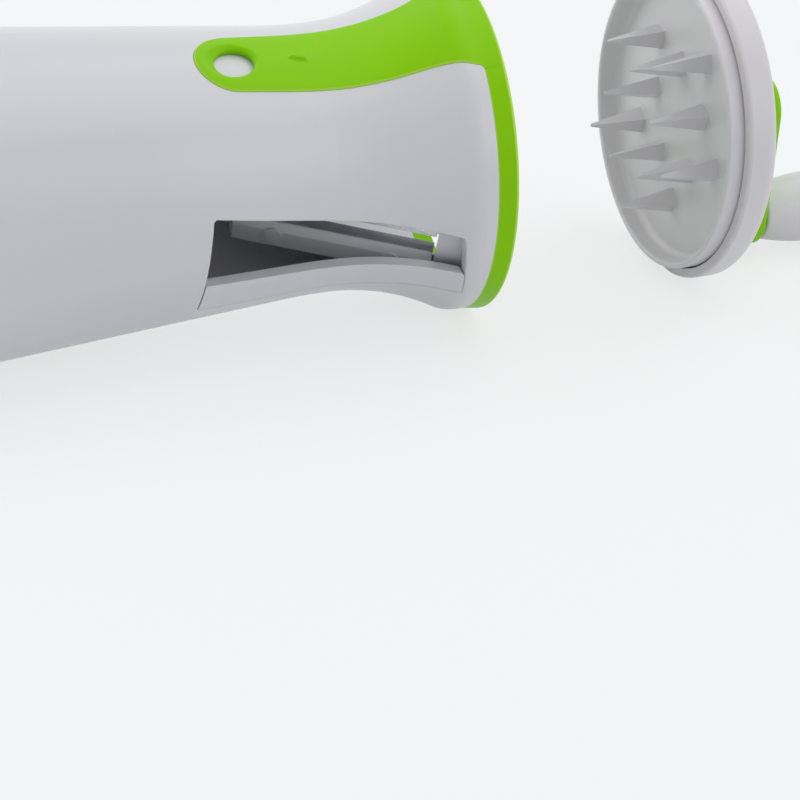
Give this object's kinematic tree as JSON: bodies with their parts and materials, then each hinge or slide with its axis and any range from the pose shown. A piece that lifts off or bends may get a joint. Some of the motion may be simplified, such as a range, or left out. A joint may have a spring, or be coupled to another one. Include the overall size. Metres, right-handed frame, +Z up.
{
  "type": "hand spiralizer with crank-turned food holder",
  "caption": "Hand-held double-ended vegetable spiralizer: white hourglass body, green collars with a tongue, steel blades, and a pronged food holder turned by a crank.",
  "frame": {"origin": "centre of the front mouth's rim, on the tool's axis", "axes": "+X along the axis from the body to the food holder, +Z up with the tool lying on its side, -Y towards the side that the front window faces"},
  "size_m": [0.2518, 0.076, 0.0752],
  "materials": {
    "shell_white": "glossy moulded plastic",
    "lime_green": "glossy moulded plastic, lime green",
    "holder_white": "satin to glossy moulded plastic, pale grey white",
    "blade_steel": "ground and brushed stainless steel",
    "spindle_steel": "turned stainless steel",
    "bearing_grey": "plain acetal, dark grey"
  },
  "bodies": {
    "slicer": {"body_shell": "shell_white", "front_collar": "lime_green", "rear_collar": "lime_green", "front_cone": "shell_white", "rear_cone": "shell_white", "front_blade": "blade_steel", "rear_blade": "blade_steel", "front_comb": "blade_steel", "rear_comb": "blade_steel", "front_clamp": "shell_white", "rear_clamp": "shell_white", "front_sill": "shell_white", "rear_sill": "shell_white"},
    "guard": {"guard": "holder_white", "hub_bush": "bearing_grey"},
    "crank": {"prong_dish": "holder_white", "spindle": "spindle_steel", "spindle_washer": "spindle_steel", "retaining_clip": "spindle_steel", "crank_arm": "lime_green", "crank_screw": "spindle_steel", "knob_pin": "spindle_steel", "knob_washer": "bearing_grey"},
    "knob": {"crank_knob": "holder_white", "knob_cap": "lime_green"}
  },
  "joints": [
    {"name": "holder_feed", "type": "slide", "parent": "slicer", "child": "guard", "axis": [1, 0, 0], "range_m": [-0.0531, 0.07]},
    {"name": "crank_spin", "type": "hinge", "parent": "guard", "child": "crank", "pos_m": [0.0654, 0, 0], "axis": [1, 0, 0], "continuous": true},
    {"name": "knob_spin", "type": "hinge", "parent": "crank", "child": "knob", "pos_m": [0.09, 0, -0.027], "axis": [1, 0, 0], "continuous": true}
  ]
}
